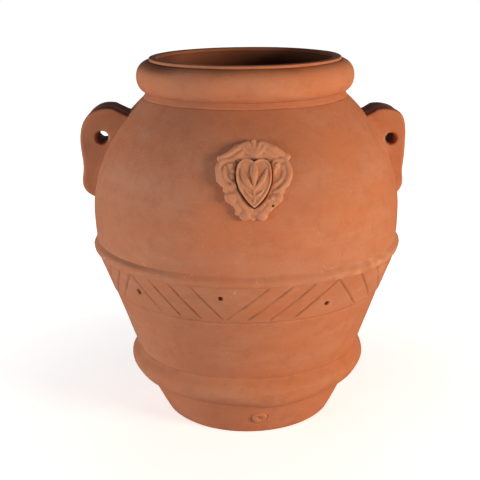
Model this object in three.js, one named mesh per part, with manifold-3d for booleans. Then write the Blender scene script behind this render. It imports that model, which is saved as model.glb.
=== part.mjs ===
// A hand-built terracotta oil jar, about 600 mm high: a round body raised in stages from coils of
// clay, with a cordon over each joint, a rolled collar, two pierced ears, a scrolled medallion and
// a small tap boss at the foot.
//
// Millimetres, +Z up. The origin is the centre of the flat foot, Z is the jar's axis, the medallion
// faces -Y and the ears stand at -X and +X.

import * as THREE from "three";
import { mergeVertices } from "three/addons/utils/BufferGeometryUtils.js";
import Module from "manifold-3d";

const wasm = await Module();
wasm.setup();

// ---------------------------------------------------------------- driving dimensions

const height = 600;
const footRadius = 140;
const bellyRadius = 253;
const neckRadius = 155;
const mouthRadius = 142;
const wall = 22; // thickness of the coil-built wall
const slab = 24; // thickness of the floor
const lap = 8; // how far each slanting stage joint rises from outside to inside
const gap = 0.3; // clearance left in every luted joint
const facets = 40; // round the jar

// Stations on the outer face of the wall, as [radius, height].
const footSide = [152, 20];
const footTop = [174, 65];
const footJoint = [179.5, 91];
const lowerFoot = [187, 113];
const lowerTop = [226, 226];
const friezeFoot = [228.5, 226];
const friezeTop = [252.4, 291.5];
const bellyJoint = [250.5, 297];
const bellyFoot = [250, 305];
const bellyWidest = [bellyRadius, 350];
const shoulderTop = [165, 538];

// Crests of the cordons and of the collar, as [radius, height].
const lowerCordonCrest = [200.5, 96];
const bellyCordonCrest = [256.5, 297.5];
const collarCrest = [176.5, 570];
const filletHeight = 9;
const collarTop = 592;
const lipRadius = 155.5;

const terracotta = new THREE.Color("#b96a48");

// ---------------------------------------------------------------- helpers

const point = ([radius, z]) => new THREE.Vector2(radius, z);

// A smooth or straight line in the (radius, height) half-plane, drawn through a THREE.Path.
function line(start, draw, divisions = 6) {
  const path = new THREE.Path();
  path.moveTo(...start);
  draw(path);
  return path.getPoints(divisions);
}

// The same line, moved sideways by a distance to the right of its direction of travel, which is
// outwards on a line that climbs the outside of the wall.
function offsetLine(points, distance) {
  return points.map((p, i) => {
    const before = points[Math.max(i - 1, 0)];
    const after = points[Math.min(i + 1, points.length - 1)];
    const along = after.clone().sub(before).normalize();
    return new THREE.Vector2(p.x + along.y * distance, p.y - along.x * distance);
  });
}

// A ring, or a disc where it touches the axis, turned from one section. The outer line climbs and
// the inner line comes down.
function turned(outer, inner) {
  const section = [...outer, ...inner];
  const closed = [...section, section[0].clone()];
  return new THREE.LatheGeometry(closed, facets).rotateX(Math.PI / 2);
}

// Geometry to manifold solid and back.
function solid(geometry) {
  const bare = geometry.clone().deleteAttribute("normal");
  if (bare.getAttribute("uv")) bare.deleteAttribute("uv");
  const merged = mergeVertices(bare, 1e-3);
  const vertProperties = new Float32Array(merged.getAttribute("position").array);
  const triVerts = new Uint32Array(merged.index.array);
  return new wasm.Manifold(new wasm.Mesh({ numProp: 3, vertProperties, triVerts }));
}

function geometryOf(made) {
  const { vertProperties, triVerts } = made.getMesh();
  const geometry = new THREE.BufferGeometry();
  geometry.setAttribute("position", new THREE.BufferAttribute(vertProperties, 3));
  geometry.setIndex(new THREE.BufferAttribute(triVerts, 1));
  return geometry;
}

const jar = new THREE.Group();

function add(name, geometry) {
  const fired = new THREE.MeshStandardMaterial({
    color: terracotta,
    roughness: 0.9,
    metalness: 0,
  });
  const mesh = new THREE.Mesh(geometry, fired);
  mesh.name = name;
  jar.add(mesh);
  return mesh;
}

// ---------------------------------------------------------------- floor and foot

const floorRadius = 117;
const floorEdge = 2;

add(
  "base_slab",
  turned(
    [
      point([0, 0]),
      point([floorRadius - gap - floorEdge, 0]),
      point([floorRadius - gap, floorEdge]),
      point([floorRadius - gap, slab]),
    ],
    [point([0, slab])],
  ),
);

add(
  "foot_wall",
  turned(
    line([footRadius - 1, 0], (p) => {
      p.quadraticCurveTo(footRadius + 1, 0, footRadius + 3, 3);
      p.quadraticCurveTo(footSide[0] - 4, footSide[1] - 8, ...footSide);
      p.quadraticCurveTo(footSide[0] + 10, footSide[1] + 20, ...footTop);
      p.lineTo(...footJoint);
    }, 3),
    line([footJoint[0] - wall, footJoint[1] + lap], (p) => {
      p.lineTo(footTop[0] - wall, footTop[1] + lap);
      p.quadraticCurveTo(floorRadius + 16, slab + 8, floorRadius, slab);
      p.lineTo(floorRadius, 0);
    }, 3),
  ),
);

// ---------------------------------------------------------------- lower wall and frieze

add(
  "lower_wall",
  turned(
    [
      point([footJoint[0], footJoint[1] + gap]),
      point(lowerFoot),
      point(lowerTop),
    ],
    [
      point([lowerTop[0] - wall, lowerTop[1] + lap]),
      point([lowerFoot[0] - wall, lowerFoot[1]]),
      point([footJoint[0] - wall, footJoint[1] + lap + gap]),
    ],
  ),
);

// The frieze stands a little proud of the wall below it. A zigzag is cut into it: groups of four
// parallel strokes that lean one way and then the other, and a round prick between two groups.
const frieze = solid(
  turned(
    line([lowerTop[0], lowerTop[1] + gap], (p) => {
      p.lineTo(friezeFoot[0], friezeFoot[1] + gap);
      p.lineTo(...friezeTop);
      p.lineTo(bellyJoint[0], bellyJoint[1] - gap);
    }),
    line([bellyJoint[0] - wall, bellyJoint[1] + lap - gap], (p) => {
      p.lineTo(friezeFoot[0] - wall, lowerTop[1] + lap + gap);
      p.lineTo(lowerTop[0] - wall, lowerTop[1] + lap + gap);
    }),
  ),
);

const strokesPerGroup = 4;
const strokeDepth = 1.6;
const strokeHalfWidth = 1.8;
const strokeLean = 14; // degrees round the jar between a stroke's foot and its head
const strokeLow = 232;
const strokeHigh = 288.5;
const prickRadius = 3.5;
const prickEnd = 2; // radius at the bottom of a prick
const prickDepth = 6;
const prickLow = 249;
const prickHigh = 270;

// Where the groups meet, in degrees round the jar from -Y towards +X. They were stepped off by eye.
const groupEdges = [-48, -11, 30, 75, 108, 142, 175, 209, 243, 277];

const friezeRadius = (z) =>
  THREE.MathUtils.mapLinear(z, friezeFoot[1], friezeTop[1], friezeFoot[0], friezeTop[0]);

// A point on or near the frieze's face, from its angle round the jar, its height and its depth.
function onFrieze(degrees, z, depth = 0) {
  const angle = THREE.MathUtils.degToRad(degrees);
  const radius = friezeRadius(z) - depth;
  return new THREE.Vector3(radius * Math.sin(angle), -radius * Math.cos(angle), z);
}

// The tool that cuts one stroke: a diamond section drawn along the face.
function stroke(lowDegrees, highDegrees) {
  const steps = 3;
  const route = [];
  for (let i = 0; i <= steps; i++) {
    const share = i / steps;
    const degrees = THREE.MathUtils.lerp(lowDegrees, highDegrees, share);
    route.push(onFrieze(degrees, THREE.MathUtils.lerp(strokeLow, strokeHigh, share)));
  }
  const reach = Math.max(strokeDepth, strokeHalfWidth);
  const diamond = new THREE.Shape();
  diamond.moveTo(reach, 0);
  diamond.lineTo(0, reach);
  diamond.lineTo(-reach, 0);
  diamond.lineTo(0, -reach);
  const extrudePath = new THREE.CatmullRomCurve3(route);
  return solid(new THREE.ExtrudeGeometry(diamond, { steps, extrudePath }));
}

function prick(degrees, z) {
  const tool = new THREE.CylinderGeometry(prickEnd, 2 * prickRadius - prickEnd, 2 * prickDepth, 10);
  tool.rotateZ(THREE.MathUtils.degToRad(degrees));
  tool.translate(...onFrieze(degrees, z));
  return solid(tool);
}

const cuts = [];
groupEdges.forEach((edge, group) => {
  const next = group + 1 < groupEdges.length ? groupEdges[group + 1] : groupEdges[0] + 360;
  const leansLeft = group % 2 === 0; // heads to the left of their feet
  const pitch = (next - edge - strokeLean) / (strokesPerGroup - 1);
  for (let i = 0; i < strokesPerGroup; i++) {
    const left = edge + i * pitch;
    const right = left + strokeLean;
    cuts.push(leansLeft ? stroke(right, left) : stroke(left, right));
  }
  cuts.push(prick(edge, leansLeft ? prickLow : prickHigh));
});
add("frieze_band", geometryOf(cuts.reduce((cut, tool) => cut.subtract(tool), frieze)));

// ---------------------------------------------------------------- belly and shoulder

const shoulderFace = [
  point([bellyJoint[0], bellyJoint[1]]),
  ...line(bellyFoot, (p) => {
    p.quadraticCurveTo(bellyRadius, 325, ...bellyWidest);
    p.bezierCurveTo(bellyRadius, 420, 221, 488, ...shoulderTop);
  }, 8),
];

add(
  "shoulder_wall",
  turned(
    shoulderFace,
    line([mouthRadius, shoulderTop[1]], (p) => {
      p.lineTo(mouthRadius, shoulderTop[1] - 6);
      p.bezierCurveTo(203, 476, bellyRadius - wall, 412, bellyRadius - wall, bellyWidest[1]);
      p.lineTo(bellyJoint[0] - wall, bellyJoint[1] + lap);
    }, 6),
  ),
);

// ---------------------------------------------------------------- cordons

// Each cordon is a roll of clay pressed over a stage joint. Its back follows the wall.
const backOf = (...stations) => stations.map(([radius, z]) => point([radius + gap, z]));

add(
  "lower_cordon",
  turned(
    line([footTop[0] + gap, footTop[1]], (p) => {
      p.bezierCurveTo(183, 68, 199, 82, ...lowerCordonCrest);
      p.bezierCurveTo(lowerCordonCrest[0], 106, 194, 110, lowerFoot[0] + 0.8, lowerFoot[1] + 1);
    }, 5),
    backOf([lowerFoot[0], lowerFoot[1] - 1], footJoint),
  ),
);

add(
  "belly_cordon",
  turned(
    line([friezeTop[0] + gap, friezeTop[1] - 1.5], (p) => {
      p.quadraticCurveTo(bellyCordonCrest[0] - 0.5, 291.5, ...bellyCordonCrest);
      p.quadraticCurveTo(bellyCordonCrest[0], 302, bellyFoot[0] + 0.8, bellyFoot[1] + 1);
    }, 4),
    backOf(bellyFoot, bellyJoint, [friezeTop[0], friezeTop[1] + 1]),
  ),
);

// ---------------------------------------------------------------- neck, collar and lip

const neckFoot = shoulderTop[1] + gap;

add(
  "neck_wall",
  turned(
    [point([neckRadius, neckFoot]), point([neckRadius, collarTop - 1])],
    [point([mouthRadius, collarTop - 1]), point([mouthRadius, neckFoot])],
  ),
);

add(
  "neck_fillet",
  turned(
    line([shoulderTop[0] - 1, neckFoot], (p) => {
      p.lineTo(shoulderTop[0] - 1, neckFoot + 2);
      p.quadraticCurveTo(163, neckFoot + 6, 160, neckFoot + filletHeight);
    }, 3),
    [
      point([neckRadius + gap, neckFoot + filletHeight]),
      point([neckRadius + gap, neckFoot]),
    ],
  ),
);

const collarFoot = neckFoot + filletHeight + gap;

add(
  "collar_roll",
  turned(
    line([160, collarFoot], (p) => {
      p.bezierCurveTo(171, 548, collarCrest[0], 558, ...collarCrest);
      p.bezierCurveTo(collarCrest[0], 583, 168, collarTop - 1, 158, collarTop);
    }, 6),
    [point([neckRadius + gap, collarTop]), point([neckRadius + gap, collarFoot])],
  ),
);

add(
  "lip_ring",
  turned(
    line([neckRadius - 0.5, collarTop - 1 + gap], (p) => {
      p.lineTo(neckRadius - 0.5, collarTop + gap);
      p.lineTo(lipRadius, collarTop + gap);
      p.lineTo(lipRadius, height - 2.5);
      p.quadraticCurveTo(lipRadius, height, lipRadius - 3, height);
    }, 2),
    line([mouthRadius + 3, height], (p) => {
      p.quadraticCurveTo(mouthRadius, height, mouthRadius, height - 3);
      p.lineTo(mouthRadius, collarTop - 1 + gap);
    }, 2),
  ),
);

// ---------------------------------------------------------------- what is luted on the shoulder

// The jar's body grown by a distance, closed on the axis: what an applied piece's back is cut by.
function grownBody(distance) {
  const face = offsetLine(shoulderFace, distance);
  const foot = face[0];
  const top = face[face.length - 1];
  return solid(
    turned([point([0, foot.y]), ...face], [point([0, top.y])]),
  );
}

const wallBehind = grownBody(gap);

// ---------------------------------------------------------------- ears

// Each ear is a wide strap folded down on itself, luted to the shoulder along its whole back and
// pierced by one finger hole that runs from front to back.
const earWidth = 72;
const earFootWidth = 54;
const earNarrowest = 378; // height at which it has its foot's width
const earWidest = 480;
const earRound = 11; // how far its edges are rounded
const earHoleRadius = 9.6;
const rightEar = { shift: [-7, 0, -7], hole: [234.5, 0, 467] }; // luted on lower than the left one
const leftEar = { shift: [0, 0, 0], hole: [232, 0, 477] }; // as it is before it is mirrored

const earOutline = new THREE.Shape();
earOutline.moveTo(150, 505);
earOutline.lineTo(186, 518);
earOutline.bezierCurveTo(206, 526, 229, 526, 247, 512);
earOutline.bezierCurveTo(261, 502, 268, 490, 268, 470);
earOutline.bezierCurveTo(268, 450, 265, 438, 266, 425);
earOutline.bezierCurveTo(267, 412, 270, 404, 268, 395);
earOutline.bezierCurveTo(266, 386, 258, 379, 250, 376);
earOutline.lineTo(215, 376);

// An ear at +X.
function ear({ shift, hole }) {
  const body = new THREE.ExtrudeGeometry(earOutline, {
    depth: earWidth - 2 * earRound,
    curveSegments: 5,
    bevelEnabled: true,
    bevelSize: earRound,
    bevelOffset: -earRound,
    bevelThickness: earRound,
    bevelSegments: 3,
  });
  body.translate(0, 0, earRound - earWidth / 2).rotateX(Math.PI / 2);
  // The strap narrows towards its lower end.
  const places = body.getAttribute("position");
  for (let i = 0; i < places.count; i++) {
    const rise = THREE.MathUtils.smoothstep(places.getZ(i), earNarrowest, earWidest);
    const share = THREE.MathUtils.lerp(earFootWidth / earWidth, 1, rise);
    places.setY(i, places.getY(i) * share);
  }
  const bar = new THREE.CylinderGeometry(earHoleRadius, earHoleRadius, 2 * earWidth, 20);
  const strap = solid(body.translate(...shift));
  return strap.subtract(solid(bar.translate(...hole))).subtract(wallBehind);
}

add("ear_right", geometryOf(ear(rightEar)));
add("ear_left", geometryOf(ear(leftEar).mirror([1, 0, 0])));

// ---------------------------------------------------------------- medallion

// The medallion leans back with the shoulder. In its own plane x is to the right and y is up, and
// z points out of the wall.
const medallionPlace = [229, 447]; // radius and height of its middle on the wall
const medallionLean = 24; // degrees from upright
const frameThickness = 10;
const shieldFront = 13.5; // of the shield's flat face, from the wall at the medallion's middle
const sprigThickness = 3;
const shieldGap = 1;

function inMedallion(geometry) {
  return geometry
    .rotateX(THREE.MathUtils.degToRad(90 - medallionLean))
    .translate(0, -medallionPlace[0], medallionPlace[1]);
}

// One half of a mirrored outline goes up its right side; the other half is its reflection.
function mirrored(half) {
  const left = half
    .filter(([x]) => x > 0)
    .map(([x, y]) => [-x, y])
    .reverse();
  return [...half, ...left].map((p) => new THREE.Vector2(...p));
}

function slabOf(points, low, high, bevel = 0) {
  const made = new THREE.ExtrudeGeometry(new THREE.Shape(points), {
    depth: high - low - bevel,
    bevelEnabled: bevel > 0,
    bevelSize: bevel,
    bevelOffset: -bevel,
    bevelThickness: bevel,
    bevelSegments: 2,
  });
  return made.translate(0, 0, low);
}

const smooth = (points, count) => new THREE.SplineCurve([...points, points[0]]).getPoints(count);

const frameOutline = smooth(
  mirrored([
    [0, -60],
    [15, -58],
    [24, -48],
    [36, -39],
    [39, -24],
    [44, -8],
    [51, 8],
    [49, 24],
    [46, 34],
    [30, 43],
    [14, 52],
    [0, 56],
  ]),
  72,
);
const shieldOutline = smooth(
  mirrored([
    [0, -38],
    [13, -28],
    [22, -10],
    [25, 8],
    [20, 24],
    [9, 29],
    [0, 26],
  ]),
  40,
);

const shieldHole = slabOf(offsetLine(shieldOutline, shieldGap), -40, 60);
const frameBlank = solid(inMedallion(slabOf(frameOutline, -30, 40)));
add(
  "medallion_frame",
  geometryOf(
    frameBlank
      .intersect(grownBody(frameThickness))
      .subtract(wallBehind)
      .subtract(solid(inMedallion(shieldHole))),
  ),
);

const shieldBlank = slabOf(shieldOutline, -20, shieldFront, 3);
add("medallion_shield", geometryOf(solid(inMedallion(shieldBlank)).subtract(wallBehind)));

// A plain three-leaved sprig: one upright leaf, and one curling out on each side.
const sprigOutline = smooth(
  mirrored([
    [0, -28],
    [3, -20],
    [4, -12],
    [10, -16],
    [16, -9],
    [16, 2],
    [9, 5],
    [5, 2],
    [7, 12],
    [0, 22],
  ]),
  48,
);
const sprigLow = shieldFront + gap;
add("medallion_sprig", inMedallion(slabOf(sprigOutline, sprigLow, sprigLow + sprigThickness)));

// ---------------------------------------------------------------- tap boss

// A button of clay low on the foot, where an oil jar has its tap, pricked but not pierced.
const bossRadius = 13;
const bossProud = 5.5;
const bossRoot = 12; // how far its back reaches in, before it is cut to the wall
const bossAngle = 4; // degrees round the jar from -Y towards +X
const bossHeight = 36;
const bossLean = 26; // degrees that it faces down, as the foot wall does
const bossHole = { radius: 3, depth: 7 };

const footFaceRadius = THREE.MathUtils.mapLinear(
  bossHeight,
  footSide[1],
  footTop[1],
  footSide[0],
  footTop[0],
);

function boss() {
  const button = new THREE.LatheGeometry(
    line([0, -bossRoot], (p) => {
      p.lineTo(bossRadius, -bossRoot);
      p.lineTo(bossRadius, bossProud - 4);
      p.quadraticCurveTo(bossRadius, bossProud, bossRadius - 5, bossProud);
      p.lineTo(bossHole.radius, bossProud - 1);
      p.lineTo(bossHole.radius, bossProud - bossHole.depth);
      p.lineTo(0, bossProud - bossHole.depth);
    }, 3),
    24,
  );
  button.rotateX(Math.PI + THREE.MathUtils.degToRad(bossLean));
  button.translate(0, -footFaceRadius, bossHeight);
  button.rotateZ(THREE.MathUtils.degToRad(bossAngle));
  return button;
}

const footFace = line([footRadius + 3, 3], (p) => {
  p.quadraticCurveTo(footSide[0] - 4, footSide[1] - 8, ...footSide);
  p.quadraticCurveTo(footSide[0] + 10, footSide[1] + 20, ...footTop);
}, 4);
const footGrown = offsetLine(footFace, gap);
const footBehind = solid(
  turned([point([0, footGrown[0].y]), ...footGrown], [point([0, footTop[1] + 5])]),
);
add("tap_boss", geometryOf(solid(boss()).subtract(footBehind)));

export default jar;
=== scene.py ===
import math

import bmesh
import bpy
from mathutils import Matrix, Vector, geometry, noise


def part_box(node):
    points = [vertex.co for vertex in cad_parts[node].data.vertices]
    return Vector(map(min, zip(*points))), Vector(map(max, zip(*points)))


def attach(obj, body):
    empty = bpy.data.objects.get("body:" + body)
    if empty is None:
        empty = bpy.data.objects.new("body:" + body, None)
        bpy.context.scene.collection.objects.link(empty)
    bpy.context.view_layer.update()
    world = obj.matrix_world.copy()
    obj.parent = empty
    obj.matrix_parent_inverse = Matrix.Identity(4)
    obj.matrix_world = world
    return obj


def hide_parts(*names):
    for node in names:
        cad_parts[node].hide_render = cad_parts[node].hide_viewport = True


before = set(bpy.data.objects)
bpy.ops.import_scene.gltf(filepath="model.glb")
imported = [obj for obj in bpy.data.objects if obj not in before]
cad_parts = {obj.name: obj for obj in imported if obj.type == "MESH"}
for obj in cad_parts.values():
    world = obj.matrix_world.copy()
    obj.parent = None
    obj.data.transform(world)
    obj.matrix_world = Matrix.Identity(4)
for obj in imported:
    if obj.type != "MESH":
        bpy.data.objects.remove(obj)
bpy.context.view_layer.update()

MM = 0.001


# ------------ floor slab
# The jar's floor is one round slab of red clay, beaten flat on a board and let into the foot.
# Its underside keeps the rough skin of the board, and its edge is luted to the foot wall.

def outline(start, *spans, every=4.0):
    """Points along an outline in (radius, height) millimetres, about every so many millimetres.
    A span is its end, or one or two handles and its end."""
    points = [Vector(start)]
    for span in spans:
        knots = [points[-1]] + [Vector(p) for p in span]
        if len(knots) == 2:
            knots = [knots[0], knots[0].lerp(knots[1], 1 / 3), knots[0].lerp(knots[1], 2 / 3), knots[1]]
        if len(knots) == 3:
            knots = [knots[0], knots[0].lerp(knots[1], 2 / 3), knots[2].lerp(knots[1], 2 / 3), knots[2]]
        length = sum((b - a).length for a, b in zip(knots, knots[1:]))
        count = max(2, round(length / every) + 1)
        points += geometry.interpolate_bezier(*knots, count)[1:]
    return points


def ring(start, *spans, every=4.0):
    """A closed outline, which runs straight back to its start."""
    return outline(start, *spans, (start,), every=every)[:-1]


def turned(points, on_axis=False, steps=288):
    """A solid of revolution from a closed outline, or from one that starts and ends on the axis."""
    bm = bmesh.new()
    verts = [bm.verts.new((0, -p.x * MM, p.y * MM)) for p in points]
    ends = verts[1:] if on_axis else verts[1:] + verts[:1]
    for a, b in zip(verts, ends):
        bm.edges.new((a, b))
    bmesh.ops.spin(
        bm, geom=bm.verts[:] + bm.edges[:], axis=(0, 0, 1), cent=(0, 0, 0),
        angle=math.tau / 8, steps=steps // 8,
    )
    for share in (8, 4, 2):
        copy = bmesh.ops.duplicate(bm, geom=bm.verts[:] + bm.edges[:] + bm.faces[:])
        copied = [v for v in copy["geom"] if isinstance(v, bmesh.types.BMVert)]
        onwards = Matrix.Rotation(math.tau / share, 3, "Z")
        bmesh.ops.rotate(bm, verts=copied, cent=(0, 0, 0), matrix=onwards)
    bmesh.ops.remove_doubles(bm, verts=bm.verts, dist=1e-5)
    bmesh.ops.recalc_face_normals(bm, faces=bm.faces)
    bm.normal_update()
    return bm


def settled(bm):
    """The same slow swell and slump that the wet clay took, so neighbours still meet."""
    for v in bm.verts:
        out = Vector((v.co.x, v.co.y, 0))
        if out.length < 0.02:
            continue
        slump = 1.3 * noise.noise(v.co * 5.5)
        dents = 0.45 * noise.noise(v.co * 19.0)
        turning = 0.1 * noise.noise(Vector((out.x * 3, out.y * 3, v.co.z * 95)))
        v.co += out.normalized() * (slump + dents + turning) * MM
    return bm


def put_down(name, data):
    """An object at the origin of the scene."""
    made = bpy.data.objects.new(name, data)
    bpy.context.scene.collection.objects.link(made)
    return made


def piece(name, bm, clay):
    """A mesh object at the origin, smooth, in one clay."""
    mesh = bpy.data.meshes.new(name)
    bm.to_mesh(mesh)
    bm.free()
    mesh.shade_smooth()
    mesh.materials.append(clay)
    return put_down(name, mesh)


def effect(name, inputs, outputs):
    """An empty shader node group with named inputs, each with its starting value, and outputs."""
    group = bpy.data.node_groups.new(name, "ShaderNodeTree")
    for label, start in inputs.items():
        kind = "NodeSocketColor" if isinstance(start, tuple) else "NodeSocketFloat"
        socket = group.interface.new_socket(name=label, in_out="INPUT", socket_type=kind)
        socket.default_value = start
    for label, kind in outputs.items():
        group.interface.new_socket(name=label, in_out="OUTPUT", socket_type=kind)
    start = group.nodes.new("NodeGroupInput")
    end = group.nodes.new("NodeGroupOutput")
    return group, start.outputs, end.inputs


def node(tree, kind, **settings):
    """A new node. A setting is a property of the node, or else the value of one of its inputs."""
    made = tree.nodes.new(kind)
    for key, value in settings.items():
        if hasattr(made, key):
            setattr(made, key, value)
        else:
            made.inputs[key].default_value = value
    return made


def noise_at(tree, scale, detail, rough, stretch=(1, 1, 1)):
    """Noise over the object's own coordinates, stretched along the axes."""
    place = node(tree, "ShaderNodeTexCoord").outputs["Object"]
    mapping = node(tree, "ShaderNodeMapping")
    mapping.inputs["Scale"].default_value = stretch
    tree.links.new(place, mapping.inputs["Vector"])
    made = node(tree, "ShaderNodeTexNoise", Scale=scale, Detail=detail, Roughness=rough)
    tree.links.new(mapping.outputs["Vector"], made.inputs["Vector"])
    return made.outputs["Fac"]


def ramp(tree, value, low, high, to_low=0.0, to_high=1.0):
    """A value taken from one range to another and held inside it."""
    made = node(tree, "ShaderNodeMapRange")
    made.interpolation_type = "SMOOTHSTEP"
    for label, number in zip(("From Min", "From Max", "To Min", "To Max"), (low, high, to_low, to_high)):
        made.inputs[label].default_value = number
    tree.links.new(value, made.inputs["Value"])
    return made.outputs["Result"]


def maths(tree, operation, a, b):
    """Two values, or a value and a number, put together."""
    made = node(tree, "ShaderNodeMath", operation=operation)
    for socket, value in zip(made.inputs, (a, b)):
        if isinstance(value, (int, float)):
            socket.default_value = value
        else:
            tree.links.new(value, socket)
    return made.outputs["Value"]


def mixed(tree, share, a, b):
    """Colour a going over to colour b by a share."""
    made = node(tree, "ShaderNodeMix", data_type="RGBA")
    for socket, value in zip((made.inputs[0], made.inputs[6], made.inputs[7]), (share, a, b)):
        if isinstance(value, (int, float, tuple)):
            socket.default_value = value
        else:
            tree.links.new(value, socket)
    return made.outputs[2]


def firing_effect():
    """Fired clay's colour: clouds from the kiln's flame, and paler smears where a wet hand went."""
    group, given, made = effect(
        "firing",
        {"Body": (0.5, 0.2, 0.1, 1), "Flame": (0.6, 0.2, 0.1, 1), "Pale": (0.6, 0.3, 0.2, 1),
         "Clouds": 0.5, "Smears": 0.3},
        {"Color": "NodeSocketColor"},
    )
    clouds = ramp(group, noise_at(group, 5.5, 4, 0.6), 0.42, 0.68)
    flame = maths(group, "MULTIPLY", clouds, given["Clouds"])
    color = mixed(group, flame, given["Body"], given["Flame"])
    smears = ramp(group, noise_at(group, 13, 5, 0.62, (0.55, 0.55, 1.7)), 0.42, 0.68)
    smeared = maths(group, "MULTIPLY", smears, given["Smears"])
    color = mixed(group, smeared, color, given["Pale"])
    mottle = ramp(group, noise_at(group, 48, 4, 0.6), 0.45, 0.7, 0, 0.24)
    color = mixed(group, mottle, color, (0.36, 0.125, 0.062, 1))
    group.links.new(color, made["Color"])
    return group


def grain_effect():
    """Sandy grain: fine tooth for the bump, and pale and dark grits for the colour."""
    group, given, made = effect(
        "grain",
        {"Color": (0.5, 0.2, 0.1, 1), "Grits": 0.4, "Coarse": 1.0},
        {"Color": "NodeSocketColor", "Height": "NodeSocketFloat"},
    )
    fine = noise_at(group, 900, 2, 0.6)
    tooth = noise_at(group, 260, 4, 0.7)
    drag = noise_at(group, 120, 3, 0.6, (0.25, 0.25, 3))
    pale = maths(group, "MULTIPLY", ramp(group, tooth, 0.58, 0.74), given["Grits"])
    dark = maths(group, "MULTIPLY", ramp(group, fine, 0.6, 0.76), given["Grits"])
    color = mixed(group, maths(group, "MULTIPLY", pale, 0.35), given["Color"], (0.78, 0.46, 0.3, 1))
    color = mixed(group, maths(group, "MULTIPLY", dark, 0.5), color, (0.2, 0.07, 0.035, 1))
    rough = maths(group, "MULTIPLY", maths(group, "ADD", tooth, maths(group, "MULTIPLY", fine, 0.5)),
                  given["Coarse"])
    height = maths(group, "ADD", rough, maths(group, "MULTIPLY", drag, 0.8))
    group.links.new(color, made["Color"])
    group.links.new(height, made["Height"])
    return group


def bloom_effect():
    """Lime that has come out of the clay as a thin white veil, thickest about one height."""
    group, given, made = effect(
        "lime_bloom",
        {"Color": (0.5, 0.2, 0.1, 1), "Amount": 0.3, "Height": 0.3, "Spread": 0.06},
        {"Color": "NodeSocketColor"},
    )
    place = node(group, "ShaderNodeTexCoord").outputs["Object"]
    apart = node(group, "ShaderNodeSeparateXYZ")
    group.links.new(place, apart.inputs["Vector"])
    away = maths(group, "ABSOLUTE", maths(group, "SUBTRACT", apart.outputs["Z"], given["Height"]), 0)
    near = maths(group, "SUBTRACT", 1, maths(group, "DIVIDE", away, given["Spread"]))
    near = maths(group, "MAXIMUM", near, 0)
    veil = ramp(group, noise_at(group, 12, 7, 0.66), 0.5, 0.78)
    flecks = ramp(group, noise_at(group, 75, 3, 0.6), 0.66, 0.72)
    lime = maths(group, "MULTIPLY", maths(group, "ADD", veil, flecks), near)
    lime = maths(group, "MULTIPLY", lime, given["Amount"])
    color = mixed(group, maths(group, "MINIMUM", lime, 0.6), given["Color"], (0.74, 0.5, 0.38, 1))
    group.links.new(color, made["Color"])
    return group


def painted_shading_effect():
    """Painted shade where the piece's own "relief" attribute is below nothing, in hollows and wherever else
    shade is painted, and a painted highlight of paler clay where it is above nothing, on crests."""
    group, given, made = effect(
        "painted_shading",
        {"Color": (0.5, 0.2, 0.1, 1), "Dust": 0.6, "Wear": 0.5},
        {"Color": "NodeSocketColor", "Hollow": "NodeSocketFloat"},
    )
    relief = node(group, "ShaderNodeAttribute", attribute_name="relief").outputs["Fac"]
    hollow = ramp(group, maths(group, "MULTIPLY", relief, -1), 0.05, 0.9)
    crest = ramp(group, relief, 0.1, 1.0)
    shade_share = maths(group, "MULTIPLY", hollow, given["Dust"])
    wear_and_highlight = maths(group, "MULTIPLY", crest, given["Wear"])
    # Near-black brown for the painted shade, and pale clay for the painted highlight.
    color = mixed(group, shade_share, given["Color"], (0.13, 0.045, 0.025, 1))
    color = mixed(group, wear_and_highlight, color, (0.74, 0.45, 0.29, 1))
    group.links.new(color, made["Color"])
    group.links.new(hollow, made["Hollow"])
    return group


EFFECTS = {
    "firing": firing_effect(),
    "grain": grain_effect(),
    "lime_bloom": bloom_effect(),
    "painted_shading": painted_shading_effect(),
}


def placed(tree, name, color=None, **values):
    """One of the shared effects, with its own values, in a material."""
    made = node(tree, "ShaderNodeGroup", node_tree=EFFECTS[name])
    for label, value in values.items():
        made.inputs[label].default_value = value
    if color:
        tree.links.new(color, made.inputs["Color"])
    return made


def fired_clay(name, body, flame, pale, clouds, smears, grits, coarse, bloom, painted_shade, painted_highlight, bump):
    """Unglazed red clay: firing colour, grain, lime bloom, and painted shade and highlight by the "relief"
    attribute, over a dry rough skin.
    """
    clay = bpy.data.materials.new(name)
    clay.use_nodes = True
    tree = clay.node_tree
    shader = tree.nodes["Principled BSDF"]
    shader.inputs["Specular IOR Level"].default_value = 0.22
    shader.inputs["IOR"].default_value = 1.45
    firing = placed(tree, "firing", Body=body, Flame=flame, Pale=pale, Clouds=clouds, Smears=smears)
    grain = placed(tree, "grain", firing.outputs["Color"], Grits=grits, Coarse=coarse)
    lime = placed(tree, "lime_bloom", grain.outputs["Color"], Amount=bloom)
    painted_shading_node = placed(tree, "painted_shading", lime.outputs["Color"], Dust=painted_shade, Wear=painted_highlight)
    tree.links.new(painted_shading_node.outputs["Color"], shader.inputs["Base Color"])
    tree.links.new(ramp(tree, grain.outputs["Height"], 0.4, 1.8, 0.97, 0.8), shader.inputs["Roughness"])
    tooth = node(tree, "ShaderNodeBump", Strength=bump, Distance=0.0006)
    tree.links.new(grain.outputs["Height"], tooth.inputs["Height"])
    tree.links.new(tooth.outputs["Normal"], shader.inputs["Normal"])
    return clay


board_clay = fired_clay(
    "board_clay", (0.46, 0.18, 0.10, 1), (0.52, 0.2, 0.1, 1), (0.56, 0.28, 0.18, 1),
    clouds=0.8, smears=0.0, grits=0.9, coarse=1.8, bloom=0.2, painted_shade=0.5, painted_highlight=0.3, bump=0.6,
)

slab_low, slab_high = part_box("base_slab")
slab_radius = slab_high.x / MM
slab_top = slab_high.z / MM
slab_bm = turned(
    outline(
        (0, 0), ((slab_radius - 2, 0),), ((slab_radius, 0), (slab_radius, 2)),
        ((slab_radius, slab_top),), ((0, slab_top),), every=5,
    ),
    on_axis=True,
)
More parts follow.
